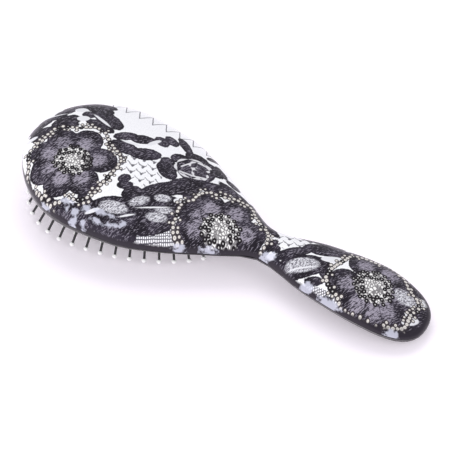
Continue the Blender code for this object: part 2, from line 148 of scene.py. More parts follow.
flank = smooth_through(
    [HEAD_WIDEST_AT - 1, HEAD_WIDEST_AT]
    + [HEAD_WIDEST_AT + share * TAPER for share in (0.28, 0.53, 0.77)]
    + [HEAD_LENGTH, (HEAD_LENGTH + GRIP_AT) / 2, GRIP_AT, GRIP_AT + 1],
    [HALF, HALF, 0.94 * HALF, 0.73 * HALF, 0.45 * HALF]
    + [NECK_WIDTH / 2, 0.15 * NECK_WIDTH + 0.35 * GRIP_WIDTH]
    + [GRIP_WIDTH / 2, GRIP_WIDTH / 2],
)
seam_height = smooth_through(
    [0, HEAD_WIDEST_AT, SHOULDER_AT, HEAD_LENGTH, GRIP_AT, BRUSH_LENGTH],
    [26.2, 21.6, 16.2, 14.4, 10.9, 5.2],
)
crown_rise = smooth_through(
    [0, HEAD_WIDEST_AT, SHOULDER_AT, HEAD_LENGTH, GRIP_AT, BRUSH_LENGTH - END_ROUNDING],
    [11.4, 14.3, 12.7, 7.9, 9.8, 5.6],
)


def half_width(x):
    if x < HEAD_WIDEST_AT:
        share = max(1 - x / HEAD_WIDEST_AT, 0.0)
        return HALF * (1 - share**TOE_FULLNESS) ** (1 / TOE_FULLNESS)
    if x > GRIP_AT:
        share = min((x - GRIP_AT) / GRIP_TO_END, 1.0)
        return GRIP_WIDTH / 2 * (1 - share**END_FULLNESS) ** (1 / END_FULLNESS)
    return flank(x)


def handle_share(x):
    """0 along the head, 1 along the handle, easing over the neck."""
    t = min(max((x - HEAD_LENGTH + FACE_TO_NECK) / FACE_TO_NECK, 0.0), 1.0)
    return t * t * (3 - 2 * t)


def opening_outline(inset):
    """Outline of the face's opening moved inwards by inset, in the face's own frame."""
    middle = HEAD_WIDEST_AT - FACE_CENTRE_AT
    toe_reach = HEAD_WIDEST_AT - TOE_FRAME - inset
    neck_reach = HEAD_LENGTH - OPENING_TO_NECK - HEAD_WIDEST_AT - inset
    reach_across = OPENING_HALF - inset

    def at(turn):
        along = math.cos(2 * math.pi * turn)
        across = math.sin(2 * math.pi * turn)
        reach = neck_reach if along > 0 else toe_reach
        power = 2 / (OPENING_NECK_FULLNESS if along > 0 else OPENING_TOE_FULLNESS)
        x = middle + reach * math.copysign(abs(along) ** power, along)
        y = reach_across * math.copysign(abs(across) ** power, across)
        return Vector((x, y, 0))

    return at


def fine_points(outline):
    return [outline(i / OUTLINE_STEPS) for i in range(OUTLINE_STEPS + 1)]


def evenly_along(outline, count):
    """Points spread evenly by length round a closed outline, from the neck end."""
    fine = fine_points(outline)
    travelled = [0.0]
    for a, b in zip(fine, fine[1:]):
        travelled.append(travelled[-1] + (b - a).length)
    points = []
    k = 0
    for i in range(count):
        wanted = travelled[-1] * i / count
        while travelled[k + 1] < wanted:
            k += 1
        share = (wanted - travelled[k]) / (travelled[k + 1] - travelled[k])
        points.append(fine[k].lerp(fine[k + 1], share))
    return points


def outline_length(outline):
    fine = fine_points(outline)
    return sum((b - a).length for a, b in zip(fine, fine[1:]))


def dome_drop(inset):
    """How far the cushion stands out of the face, this far in from its edge."""
    return PAD_RISE * (1 - (1 - inset / OPENING_HALF) ** 2)


def ring_inset(ring):
    spread = OPENING_HALF - FIRST_RING_INSET - LAST_RING_HALF_WIDTH
    return FIRST_RING_INSET + ring * spread / (len(RINGS) - 1)


def pin_direction(base):
    from_upright = base.x + FACE_CENTRE_AT - UPRIGHT_AT
    toe_reach = UPRIGHT_AT - TOE_FRAME
    neck_reach = HEAD_LENGTH - OPENING_TO_NECK - UPRIGHT_AT
    lean = NECK_LEAN / neck_reach if from_upright > 0 else TOE_LEAN / toe_reach
    lean_x = from_upright * lean
    lean_y = SIDE_LEAN * base.y / OPENING_HALF
    return Vector((lean_x, lean_y, -1)).normalized()


def pin_reach(base, direction):
    """Length of a pin from its base, so that its ball ends on the dome of the tips."""
    start = FACE_HEIGHT + base.z * math.cos(FACE_TILT) - base.x * math.sin(FACE_TILT)
    fall = direction.x * math.sin(FACE_TILT) - direction.z * math.cos(FACE_TILT)
    tip = BALL_RADIUS + TIP_RISE * (1 + base.z / dome_drop(ring_inset(len(RINGS) - 1)))
    return (start - tip) / fall


def ring_pins(ring):
    """The base and the direction of every pin of a ring, in the face's own frame."""
    outline = opening_outline(ring_inset(ring))
    count = round(outline_length(outline) / PIN_PITCH)
    drop = Vector((0, 0, -dome_drop(ring_inset(ring))))
    bases = [point + drop for point in evenly_along(outline, count)]
    return [(base, pin_direction(base)) for base in bases]


FACE_FRAME = Matrix.Translation((-BRUSH_LENGTH / 2 + FACE_CENTRE_AT, 0, FACE_HEIGHT))
FACE_FRAME = FACE_FRAME @ Matrix.Rotation(FACE_TILT, 4, "Y")


def finished(bm, name, material, smooth=True):
    """Turns a bmesh in millimetres into a named object in metres."""
    bmesh.ops.scale(bm, vec=(MM, MM, MM), verts=bm.verts)
    bmesh.ops.recalc_face_normals(bm, faces=bm.faces)
    mesh = bpy.data.meshes.new(name)
    bm.to_mesh(mesh)
    bm.free()
    if smooth:
        mesh.shade_smooth()
        mesh.set_sharp_from_angle(angle=SHARP_ANGLE)
    mesh.materials.append(material)
    obj = bpy.data.objects.new(name, mesh)
    bpy.context.scene.collection.objects.link(obj)
    return obj


# ---------------------------------------------------------------- materials


class Signal:
    """A number in a material. Arithmetic on it adds Math nodes."""

    def __init__(self, build, socket):
        self.build = build
        self.socket = socket

    def math(self, operation, *others, first=None):
        inputs = [self, *others] if first is None else [first, self]
        node = self.build.tree.nodes.new("ShaderNodeMath")
        node.operation = operation
        for slot, value in zip(node.inputs, inputs):
            self.build.put(slot, value)
        return Signal(self.build, node.outputs[0])

    def __add__(self, other):
        return self.math("ADD", other)

    def __radd__(self, other):
        return self.math("ADD", other)

    def __sub__(self, other):
        return self.math("SUBTRACT", other)

    def __rsub__(self, other):
        return self.math("SUBTRACT", first=other)

    def __mul__(self, other):
        return self.math("MULTIPLY", other)

    def __rmul__(self, other):
        return self.math("MULTIPLY", other)

    def __truediv__(self, other):
        return self.math("DIVIDE", other)

    def above(self, level, soft=0.1):
        """0 below level, 1 above it, with a soft step."""
        step = ((self - level) / soft + 0.5).math("MAXIMUM", 0.0)
        return step.math("MINIMUM", 1.0)

    def below(self, level, soft=0.1):
        return 1.0 - self.above(level, soft)

    def size(self):
        return self.math("ABSOLUTE")

    def most(self, other):
        return self.math("MAXIMUM", other)


class Material:
    """Builds one Principled material."""

    def __init__(self, name):
        self.material = bpy.data.materials.new(name)
        self.material.use_nodes = True
        self.tree = self.material.node_tree
        self.shader = self.tree.nodes["Principled BSDF"]

    def put(self, slot, value):
        if isinstance(value, Signal):
            self.tree.links.new(value.socket, slot)
        elif hasattr(value, "is_output"):
            self.tree.links.new(value, slot)
        else:
            slot.default_value = value

    def node(self, kind, settings=None, **values):
        node = self.tree.nodes.new(kind)
        for key, value in (settings or {}).items():
            setattr(node, key, value)
        for key, value in values.items():
            self.put(node.inputs[key.replace("_", " ")], value)
        return Signal(self, node.outputs[0])

    def place(self):
        """The three coordinates on the object, in millimetres."""
        coordinates = self.tree.nodes.new("ShaderNodeTexCoord").outputs["Object"]
        settings = {"operation": "SCALE"}
        scaled = self.node("ShaderNodeVectorMath", settings, Vector=coordinates, Scale=1 / MM)
        split = self.tree.nodes.new("ShaderNodeSeparateXYZ")
        self.tree.links.new(scaled.socket, split.inputs[0])
        return [Signal(self, output) for output in split.outputs]

    def field(self, name):
        node = self.tree.nodes.new("ShaderNodeAttribute")
        node.attribute_name = name
        return Signal(self, node.outputs["Fac"])

    def point(self, x, y, z=0.0):
        return self.node("ShaderNodeCombineXYZ", X=x, Y=y, Z=z)

    def noise(self, where, detail=2.0):
        return self.node("ShaderNodeTexNoise", Vector=where, Scale=1.0, Detail=detail)

    def cells(self, where, feature="F1", randomness=1.0):
        settings = {"feature": feature}
        return self.node(
            "ShaderNodeTexVoronoi", settings, Vector=where, Scale=1.0, Randomness=randomness
        )

    def mix(self, share, a, b):
        node = self.tree.nodes.new("ShaderNodeMix")
        node.data_type = "RGBA"
        self.put(node.inputs["Factor"], share)
        for slot, colour in ((node.inputs[6], a), (node.inputs[7], b)):
            self.put(slot, colour if isinstance(colour, Signal) else (*colour, 1.0))
        return Signal(self, node.outputs[2])

    def set(self, **values):
        for key, value in values.items():
            self.put(self.shader.inputs[key.replace("_", " ")], value)
        return self.material


def plain_material(name, colour, roughness, grain=0.0, grain_size=1.0, coat=0.0):
    """A moulded plastic or rubber with a faint uneven surface."""
    build = Material(name)
    x, y, z = build.place()
    speckle = build.noise(build.point(x / grain_size, y / grain_size, z / grain_size))
    darker = [c * (1 - grain) for c in colour]
    lighter = [c * (1 + grain) for c in colour]
    tone = build.mix(speckle, darker, lighter)
    return build.set(
        Base_Color=tone, Roughness=speckle * 0.08 + (roughness - 0.04), Coat_Weight=coat,
    )


# ---------------------------------------------------------------- the print on the back

# Places on the print are in millimetres: from the toe, and across from the middle

# Each flower: centre, stretch of its sequin ring across, and its petals' directions
FLOWERS = (
    (33.6, -15.0, 1.08, (144, 92, 30, -36, -86, -128, -168)),
    (114.6, -10.6, 0.98, (142, 84, 26, -34, -92, -150, 180)),
    (191.8, -1.6, 0.8, (-158, 133, 75, 22, -30, -62, -100)),
)
RING_RADIUS = 21.6
PETAL_AT = 13.9
PETAL_REACH = 7.4
PETAL_HALF_WIDTH = 7.3
LOBE_AT = PETAL_AT - 2
LOBE_REACH = 4.8
LOBE_HALF_WIDTH = 4.3
SCALLOP = 1.3
SEQUIN_STEP = 2.15
HEART_FROM, HEART_TO = 4.6, 9.2
HEART_TRIES = 900
HEART_SPACING = 2.05
CORE_RADIUS = 8.6

# Leaves of dark cloth: both ends and half the width
LEAVES = (
    (12.7, -1.5, 19.8, 11.4, 4.2), (5.3, -10, 12.7, -2.5, 2.6),
    (8.3, 8, 13.8, 16.5, 2.4), (3.3, 1.6, 13.5, 8.8, 1.7), (9, -12.4, 15.8, -6.2, 1.6),
    (14.8, 22.2, 31, 23.8, 3.3), (20, 14.7, 25.4, 17.4, 2.5),
    (23.9, 20.4, 41.4, 16, 4.2), (25, 11.9, 39.4, 11.2, 2.7),
    (42.4, 9.6, 50.4, 16, 2.5), (43.2, 5.2, 57, 6.4, 3.6),
    (49.8, 13.4, 58.8, 18.5, 2.8), (54.6, 4.6, 67, 11.4, 3.6), (59, 22, 66, 19.9, 2.5),
    (62.5, 26.2, 69.4, 23.3, 2.1), (67.8, 29.6, 77.5, 23.2, 1.9),
    (69.6, 7.6, 80.4, 2.6, 3.6), (69.5, 11.6, 78.5, 5.5, 3.2), (72, 14.6, 79, 18, 2.8),
    (76.6, 21, 87, 23, 3.2), (85.5, 22, 97.5, 19, 3.2), (80.5, -4.6, 94, 7.2, 5),
    (73, -13.2, 89, 2.6, 4), (90.2, -4.2, 96, -1.3, 2.4), (93.5, 7, 107, 11.2, 3.6),
    (101, 11.2, 108, 8.4, 2.2), (85, 27.4, 89.4, 30.8, 1.5),
    (101.4, 19.2, 107.9, 17.6, 1.3), (108.4, 14, 118, 11.2, 1.7),
    (71.5, -26.5, 93, -9.8, 8), (76, -32.4, 93.4, -21.2, 3.4),
    (59.4, -13.4, 62.6, -9, 2), (60.7, -16.2, 66, -12.6, 1.9),
    (55.6, -35, 77, -24, 7.4), (66, -20.5, 71.6, -12.8, 3.6), (69, -16, 77.5, -14, 3.2),
    (62, -38.8, 80, -34.6, 2.4), (137, -8, 139.6, -0.8, 1.7),
    (140, -5.4, 143.2, -3.9, 1.6), (144, -7.6, 157, 3.2, 2.4),
    (153.4, 3.4, 173.2, 10.6, 4), (146.6, -13, 168, -1.4, 5.6),
    (162.4, -0.8, 170.8, -8.6, 2), (162.6, -13, 169.6, -11, 1.7),
    (173.4, -17, 178.8, -17.9, 1.6), (211.8, -17, 221.4, 12, 4.6),
    (150, 9.5, 168, 14.5, 1.6), (176, 13.5, 190, 19.4, 3.4), (118, 13.5, 128, 9.5, 1.8),
    (199, 15.6, 212, 11.8, 3), (92, 24.6, 99, 20.6, 1.2), (76.6, 14.6, 95.4, 14.6, 8.6),
    (9, 15, 22, 24.6, 3), (18, 25.6, 30, 28.6, 2.4), (2.4, -8, 8, 4.4, 2.2),
    (34, -40.6, 62, -38, 3.6), (28, -38.6, 40, -40, 2.6), (46, -38, 64, -34, 3.4),
    (60, -36.6, 80, -32.6, 3.2), (100, -27.6, 112, -22.6, 2.4),
    (48, -30.4, 58, -34, 2.6), (12, -30.4, 22, -37, 2.4), (136, -12.6, 150, -10.4, 2),
    (126, 8.6, 138, 2.4, 1.8), (132, -8.6, 138, -12, 2), (13, 3.4, 22, 6.4, 2.2),
    (100, 14.6, 112, 12.4, 2), (186, 18.6, 200, 17.6, 2.2), (170, 9, 178, 13.5, 2.6),
)

# Pale lacework inside leaves, the same way
LACEWORK = (
    (58.4, -29.8, 72, -25.6, 3.2), (70.6, -22.4, 77.4, -14.6, 2.5),
    (78.8, -12.8, 86.4, -9.2, 2.3), (80.6, -23.6, 90.4, -19.4, 2.5),
    (150, -10.6, 164.4, -3, 3.9), (83, -18.5, 91, -14.5, 1.7),
    (200.6, 3.4, 213.4, 6.6, 4.4),
)

# White gaps and veins cut out of the dark cloth
CUTS = (
    (24.3, 17.8, 37, 13.9, 0.8), (45.6, 9.1, 56, 11.3, 0.75),
    (58.2, 14, 61.6, 21.4, 1.2), (74.6, -22.6, 88.4, -13.4, 0.42),
    (151.6, -12, 164, -4.8, 0.42), (163.2, 0.2, 174.6, 5.4, 2),
    (210.6, -8.4, 216.4, -1.6, 1.8), (87.6, -9.3, 92.6, -6.1, 1.7),
    (14.5, 15.5, 20, 19.4, 1.8), (19.4, 10, 24.6, 13.8, 2),
    (4.2, -14.8, 9.2, -9.6, 1.4), (54.6, -36.6, 60, -31.4, 0.9),
    (70, -30.6, 76, -25.6, 0.5), (4, 4.6, 13, 11.2, 0.4),
)

# Painted reflection: soft pale patches along the near lower edge, where the glossy back turns
# down to the seam
PAINTED_REFLECTION_PATCHES = (
    (48, -41.6, 52.4, -40.2, 1.5), (53.8, -39, 57, -40.6, 1.3),
    (44, -38, 47.2, -39.2, 1.3), (135.4, -9.2, 143.8, -7.4, 1.5),
    (205.6, -17, 211.8, -13.2, 1.6), (52.2, -35.4, 56.4, -33, 1.5),
    (58, -37, 65, -36.4, 1.2), (65.4, -36.6, 73, -33.4, 1), (110, -21, 117, -17.4, 1.1),
    (98, -27.4, 103, -24.6, 1), (40, -36, 47, -35, 1.6), (47.6, -37, 52, -39.5, 1.8),
    (30, -39.6, 36, -40.4, 1.1), (56, -33.6, 68, -31.6, 1.2), (71, -34, 75, -31, 1.1),
    (160, -15.4, 168, -14.2, 1.6), (170, -17.4, 183, -17.6, 1.7),
)

# Where the white ground is honeycomb net, and where it is knotted net
HONEYCOMB = (
    (80, -35, 100, -24.5, 6.4), (159, -17, 184, -17.4, 3.6), (127, -16, 139, -9, 3),
)
KNOTTED = ((52, 3, 76, -6, 9.5), (138.6, -1, 157, 7, 5.4))

# The small rose: arcs as centre, radii, tilt, first and last angle, then strokes
ROSE_ARCS = (
    (84.6, 14.4, 9, 6.6, 20, 30, 300), (86, 17.4, 5, 3, 10, -30, 280),
    (88.6, 13.6, 4.4, 3.2, -20, 150, 420),
)
ROSE_STROKES = (
    (79, 12, 82, 18.5), (86, 9.6, 93, 12.4), (80, 8.6, 86, 9.8), (84, 19.8, 90, 20.4),
)

# The zigzag stitch on the white ground: along the brush, and across it
STITCH_FROM, STITCH_PITCH, STITCH_TO = 4.4, 7.85, 100.0
STITCH_AT, STITCH_HEIGHT, STITCH_LEAST = 29.6, 6.6, 28.4

WHITE_GROUND = (0.95, 0.95, 0.97)
TULLE_GREY = (0.4, 0.39, 0.44)
STITCH_INK = (0.06, 0.055, 0.075)
COMB_INK = (0.07, 0.065, 0.09)
NET_INK = (0.07, 0.065, 0.085)
DEEP_CLOTH = (0.011, 0.008, 0.014)
SHADED_CLOTH = (0.03, 0.024, 0.038)
PALE_LOBE = (0.075, 0.066, 0.09)
SATIN_THREAD = (0.44, 0.405, 0.485)
LACE_SHADOW = (0.16, 0.15, 0.18)
LACE_THREAD = (0.74, 0.74, 0.78)
CUT_WHITE = (0.8, 0.8, 0.83)
ROSE_WHITE = (0.78, 0.77, 0.8)
HEART_WHITE = (0.93, 0.92, 0.9)
HEART_INK = (0.1, 0.09, 0.1)
SEQUIN_SILVER = (0.78, 0.745, 0.7)
SEQUIN_EDGE = (0.05, 0.04, 0.045)
SEQUIN_HOLE = (0.2, 0.18, 0.17)
BEAD_GLINT = (0.7, 0.69, 0.68)
BEAD_BLACK = (0.012, 0.009, 0.012)
SEAM_BAND = (0.022, 0.017, 0.026)
# pale colour of the painted reflection patches on the near lower edge
PAINTED_REFLECTION_TINT = (0.66, 0.67, 0.78)
SEAM_EDGE = (0.03, 0.026, 0.034)


def leaf_field(x, y, leaf):
    """Depth inside a leaf in millimetres, negative outside it."""
    x0, y0, x1, y1, half = leaf
    length = math.hypot(x1 - x0, y1 - y0)
    along = ((x - (x0 + x1) / 2) * (x1 - x0) + (y - (y0 + y1) / 2) * (y1 - y0)) / length
    across = ((y - (y0 + y1) / 2) * (x1 - x0) - (x - (x0 + x1) / 2) * (y1 - y0)) / length
    return (1 - np.hypot(2 * along / length, across / half)) * min(length / 2, half)


def deepest(x, y, leaves):
    return np.max([leaf_field(x, y, leaf) for leaf in leaves], axis=0)


def petal(flower, direction, at, reach, half):
    """A petal as a leaf pointing away from its flower's centre."""
    turn = math.radians(direction)
    cx, cy = flower[0], flower[1]
    inner, outer = at - reach, at + reach
    return (
        cx + inner * math.cos(turn), cy + inner * math.sin(turn),
        cx + outer * math.cos(turn), cy + outer * math.sin(turn), half,
    )


def flower_ring(flower, rng):
    """Sequins in a scalloped ring round a flower: (x, y, radius, tone)."""
    cx, cy, stretch, directions = flower
    sequins = []
    turn = 0.0
    while turn < 2 * math.pi:
        nearest = min(
            abs((turn - math.radians(direction) + math.pi) % (2 * math.pi) - math.pi)
            for direction in directions
        )
        between = min(nearest / math.radians(28), 1.0)
        out = RING_RADIUS + SCALLOP * math.cos(between * math.pi)
        out += rng.uniform(-0.35, 0.35)
        tone = 1.0 if rng.random() < 0.8 else 0.0
        place = (cx + out * math.cos(turn), cy + stretch * out * math.sin(turn))
        sequins.append((*place, rng.uniform(1.15, 1.45), tone))
        if rng.random() < 0.75:
            more = out + rng.uniform(1.7, 2.5) * rng.choice((-1.0, 1.0))
            place = (cx + more * math.cos(turn), cy + stretch * more * math.sin(turn))
            sequins.append((*place, rng.uniform(0.85, 1.2), 1.0))
        turn += SEQUIN_STEP / out
    return sequins


def flower_heart(flower, rng):
    """Beads crowded round the middle of a flower."""
    cx, cy = flower[0], flower[1]
    beads = []
    for _ in range(HEART_TRIES):
        out = math.sqrt(rng.uniform(HEART_FROM**2, HEART_TO**2))
        turn = rng.uniform(0, 2 * math.pi)
        x = cx + 1.08 * out * math.cos(turn)
        y = cy + 0.98 * out * math.sin(turn)
        if all(math.hypot(x - bx, y - by) > HEART_SPACING for bx, by, _, _ in beads):
            beads.append((x, y, rng.uniform(1.02, 1.22), 0.0))
    return beads


def nearest_bead(x, y, beads):
    """Distance to the nearest bead over its radius, and that bead's tone."""
    best = np.full(x.shape, 9.0)
    tone = np.zeros(x.shape)
    for bx, by, radius, kind in beads:
        near = (np.abs(x - bx) < 4) & (np.abs(y - by) < 4)
        reach = np.hypot(x[near] - bx, y[near] - by) / radius
        closer = reach < best[near]
        spots = np.flatnonzero(near)[closer]
        best[spots] = reach[closer]
        tone[spots] = kind
    return np.minimum(best, 4.0), tone


def print_fields(x, y, above_seam):
    """The print's fields at points of the back, in millimetres."""
    rng = np.random.default_rng(7)
    petals = []
    lobes = []
    beads = []
    core = np.full(x.shape, -9.0)
    for flower in FLOWERS:
        for direction in flower[3]:
            petals.append(petal(flower, direction, PETAL_AT, PETAL_REACH, PETAL_HALF_WIDTH))
            lobes.append(petal(flower, direction, LOBE_AT, LOBE_REACH, LOBE_HALF_WIDTH))
        beads += flower_ring(flower, rng)
        beads += flower_heart(flower, rng)
        out = np.hypot((x - flower[0]) / 1.06, y - flower[1])
        core = np.maximum(core, CORE_RADIUS - out)
    for i in range(9):
        place = (22 + 1.6 * i + rng.uniform(-1, 1), -38 + rng.uniform(-1.5, 1.5))
        beads.append((*place, 0.95, 1.0))
    petal_depth = np.array([leaf_field(x, y, leaf) for leaf in petals])
    ordered = np.sort(petal_depth, axis=0)
    cloth = np.maximum(ordered[-1], deepest(x, y, LEAVES))
    split = ordered[-1] - ordered[-2]
    bead, tone = nearest_bead(x, y, beads)
    return {
        "cloth": cloth,
        "overlap": np.where(ordered[-2] > 0, split, 3.0),
        "lobe": deepest(x, y, lobes),
        "lace": deepest(x, y, LACEWORK),
        "cuts": deepest(x, y, CUTS),
        "bead": bead,
        "tone": tone,
        "core": core,
        "rose": rose_lines(x, y),
        # patches of painted reflection along the near lower edge
        "painted_reflection": deepest(x, y, PAINTED_REFLECTION_PATCHES),
        "honeycomb": deepest(x, y, HONEYCOMB),
        "knotted": deepest(x, y, KNOTTED),
        "edge": above_seam,
    }


def rose_lines(x, y):
    """Distance to the nearest pale contour of the small rose, in millimetres."""
    lines = []
    for cx, cy, a, b, tilt, start, stop in ROSE_ARCS:
        turn = math.radians(tilt)
        u = (x - cx) * math.cos(turn) + (y - cy) * math.sin(turn)
        v = (y - cy) * math.cos(turn) - (x - cx) * math.sin(turn)
        angle = np.degrees(np.arctan2(v / b, u / a)) % 360
        off = np.abs(np.hypot(u / a, v / b) - 1) * (a + b) / 2
        inside = ((angle - start) % 360) <= min(stop - start, 360)
        wobble = 0.5 * np.sin(np.radians(angle) * 7)
        lines.append(np.where(inside, np.abs(off + wobble * 0.6), 5.0))
    for x0, y0, x1, y1 in ROSE_STROKES:
        length = math.hypot(x1 - x0, y1 - y0)
        along = ((x - x0) * (x1 - x0) + (y - y0) * (y1 - y0)) / length
        across = ((y - y0) * (x1 - x0) - (x - x0) * (y1 - y0)) / length
        past = np.maximum(np.maximum(-along, along - length), 0)
        lines.append(np.hypot(across, past))
    return np.minimum(np.min(lines, axis=0), 5.0)


def lace_material():
    """Glossy plastic with a printed black lace pattern under its clear surface."""
    build = Material("lace_print")
    x, y, z = build.place()
    cloth = build.field("cloth")
    lobe = build.field("lobe")
    overlap = build.field("overlap")
    wander = build.noise(build.point(x / 2.2, y / 2.2, z / 2.2)) - 0.5
    fine = build.noise(build.point(x / 0.5, y / 0.5, z / 0.5)) - 0.5

    # white ground: fine tulle, its zigzag stitch, and the two nets
    tulle_dots = build.cells(build.point((x + y) / 0.95, (y - x) / 0.95), randomness=0.35)
    tulle = tulle_dots.below(0.3, 0.3) * 0.3
    ground = build.mix(tulle, WHITE_GROUND, TULLE_GREY)
    from_toe = x + BRUSH_LENGTH / 2
    rise = ((from_toe - STITCH_FROM) / STITCH_PITCH).math("PINGPONG", 0.5) * 2.0
    stitch = (y - STITCH_AT - rise * STITCH_HEIGHT + wander * 0.8).size().below(0.5, 0.35)
    stitch = stitch * from_toe.below(STITCH_TO, 3.0) * y.above(STITCH_LEAST, 0.4)
    ground = build.mix(stitch * 0.9, ground, STITCH_INK)
    comb_place = build.point(x * 0.86 + y * 0.5, y * 0.86 - x * 0.5)
    comb = build.cells(comb_place, "DISTANCE_TO_EDGE", 0.25)
    comb_ink = comb.below(0.16, 0.14) * build.field("honeycomb").above(0.0, 0.4)
    ground = build.mix(comb_ink, ground, COMB_INK)
    run = (x * 0.92 + y * 0.38 + wander * 1.4) / 5.0
    swing = run.math("FRACT").math("PINGPONG", 0.62) * 4.6
    row = ((y * 0.92 - x * 0.38 + swing + wander) / 4.4).math("FRACT") - 0.5
    thread = row.size().below(0.075, 0.05)
    steep = (run.math("FRACT") - 0.62).size().below(0.13, 0.08)
    knots = steep * row.size().below(0.17, 0.06)
    net_ink = knots.most(thread * 0.85) * build.field("knotted").above(0.2, 0.5)
    ground = build.mix(net_ink * 0.92, ground, NET_INK)

    # dark cloth: satin stitches run one way, closer together on the petals' pale lobes
    along = (x * 0.5 + y * 0.87) / 1.7
    across = (x * 0.87 - y * 0.5 + wander * 0.7) / 0.36
    threads = build.noise(build.point(along, across, z / 3.0), 1.0)
    paleness = lobe.above(0.4, 2.4)
    shade = build.noise(build.point(x / 9.0, y / 9.0, z / 9.0)).above(0.52, 0.2)
    flecks = threads.above(0.635 - paleness * 0.15 - shade * 0.06, 0.09)
    flecks = flecks * cloth.above(0.2, 0.5) * overlap.above(0.35, 0.5)
    deep = build.mix(shade, DEEP_CLOTH, SHADED_CLOTH)
    deep = build.mix(paleness * 0.4, deep, PALE_LOBE)
    dark = build.mix(flecks * (paleness * 0.28 + 0.5), deep, SATIN_THREAD)
    edge_wander = cloth + fine * 0.5 + wander * 0.8
    colour = build.mix(edge_wander.above(-0.5, 0.22), ground, dark)

    # pale lacework, veins and gaps
    lace = build.field("lace") + fine * 0.8
    lace_threads = build.noise(build.point(along * 1.4, across * 1.1, z / 2.0), 1.0)
    lace_tone = build.mix(lace_threads.above(0.5, 0.1), LACE_SHADOW, LACE_THREAD)
    colour = build.mix(lace.above(0.1, 0.7), colour, lace_tone)
    cuts = (build.field("cuts") + fine * 0.25).above(0.0, 0.2)
    colour = build.mix(cuts, colour, CUT_WHITE)
    rose = build.field("rose").below(0.42, 0.25) * 0.92
    colour = build.mix(rose, colour, ROSE_WHITE)

    # hearts of the flowers, and the sequins and beads
    core = build.field("core")
    core_cells = build.cells(build.point(x / 1.5, y / 1.5), "DISTANCE_TO_EDGE")
    core_ink = core_cells.below(0.14, 0.1) * 0.85
    core_tone = build.mix(core_ink, HEART_WHITE, HEART_INK)
    colour = build.mix((core + wander * 3.0).above(0.0, 0.8), colour, core_tone)
    bead = build.field("bead")
    tone = build.field("tone")
    sequin = build.mix(bead.above(0.58, 0.16), SEQUIN_SILVER, SEQUIN_EDGE)
    sequin = build.mix(bead.below(0.24, 0.14) * 0.6, sequin, SEQUIN_HOLE)
    dot = build.mix(bead.above(0.27, 0.16), BEAD_GLINT, BEAD_BLACK)
    bead_tone = build.mix(tone.above(0.5, 0.2), dot, sequin)
    colour = build.mix(bead.below(1.0, 0.14), colour, bead_tone)

    # dark band along the seam, with pale patches of painted reflection over it
    edge = build.field("edge") + wander * 1.6
    band = edge.below(3.2, 1.3)
    colour = build.mix(band, colour, SEAM_BAND)
    painted_reflection = (build.field("painted_reflection") + wander * 3.4 + fine * 0.9).above(0.2, 0.75)
    colour = build.mix(painted_reflection * 0.75, colour, PAINTED_REFLECTION_TINT)
    lip = build.field("edge").below(0.3, 0.2)
    colour = build.mix(lip, colour, SEAM_EDGE)
    return build.set(
        Base_Color=colour,
        Roughness=fine * 0.06 + 0.36,
        Coat_Weight=0.3,
        Coat_Roughness=0.12,
        Specular_IOR_Level=0.12,
    )


# ---------------------------------------------------------------- the body's pieces


def surface(rows, columns, place):
    """A grid over place(u, v), u and v from 0 to 1, its seams and poles closed up."""
    made = bmesh.new()
    bmesh.ops.create_grid(made, x_segments=rows, y_segments=columns, size=1.0)
    flat = np.array([vert.co for vert in made.verts])
    points = place((flat[:, 0] + 1) / 2, (flat[:, 1] + 1) / 2)
    for vert, point in zip(made.verts, np.stack(points, axis=1)):
        vert.co = point
    bmesh.ops.remove_doubles(made, verts=made.verts, dist=0.002)
    return made


def along_brush(u):
    """Distance from the toe for u from 0 to 1, with finer steps where the outline turns."""
    toe, end = 12.0, 10.0
    x = u * BRUSH_LENGTH
    x = np.where(x < toe, x * x / toe * 0.5 + x * 0.5, x)
    left = BRUSH_LENGTH - x
    return np.where(left < end, BRUSH_LENGTH - (left * left / end * 0.5 + left * 0.5), x)


def tabled(curve, x):
    """A curve of the body evaluated at an array of distances."""
    places = np.linspace(0, BRUSH_LENGTH, 2201)
    return np.interp(x, places, [curve(p) for p in places])


def at_stations(curve, x):
    """A curve of the body evaluated once at each distance that occurs."""
    places, where = np.unique(x, return_inverse=True)
    return np.array([curve(p) for p in places])[where]


def back_rise(x):
    """How far the back's crown stands above the seam."""
    toe, end = rounding(x, TOE_ROUNDING), rounding(BRUSH_LENGTH - x, END_ROUNDING)
    return crown_rise(x) * toe * end


def back_surface(u, v):
    """The back: u from the toe to the end, v from one seam over the top to the other."""
    x = along_brush(u)
    angle = v * np.pi
    rise = at_stations(back_rise, x)
    change = HANDLE_SQUARENESS - HEAD_SQUARENESS
    squareness = HEAD_SQUARENESS + change * at_stations(handle_share, x)
    across = np.sign(np.cos(angle)) * np.abs(np.cos(angle)) ** (2 / squareness)
    up = np.abs(np.sin(angle)) ** (2 / squareness)
    y = -at_stations(half_width, x) * across
    return x - BRUSH_LENGTH / 2, y, at_stations(seam_height, x) + GAP + rise * up


def make_back():
    """The printed back, its edge turned in along the seam."""
    bm = surface(BACK_ROWS, BACK_COLUMNS, back_surface)
    rim = [edge for edge in bm.edges if edge.is_boundary]
    made = bmesh.ops.extrude_edge_only(bm, edges=rim)
    for vert in [item for item in made["geom"] if isinstance(item, bmesh.types.BMVert)]:
        spine = Vector((min(max(vert.co.x, SPINE_FROM), SPINE_TO), 0, vert.co.z))
        vert.co += (spine - vert.co).normalized() * SEAM_LIP
    flat = np.array([vert.co for vert in bm.verts])
    back = finished(bm, "printed_back", lace_material())
    x = flat[:, 0] + BRUSH_LENGTH / 2
    above_seam = flat[:, 2] - tabled(seam_height, x) - GAP
    for name, values in print_fields(x, flat[:, 1], above_seam).items():
        attribute = back.data.attributes.new(name, "FLOAT", "POINT")
        attribute.data.foreach_set("value", values.astype(np.float32))
    return back


back = make_back()
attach(back, "body")
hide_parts("back_shell")

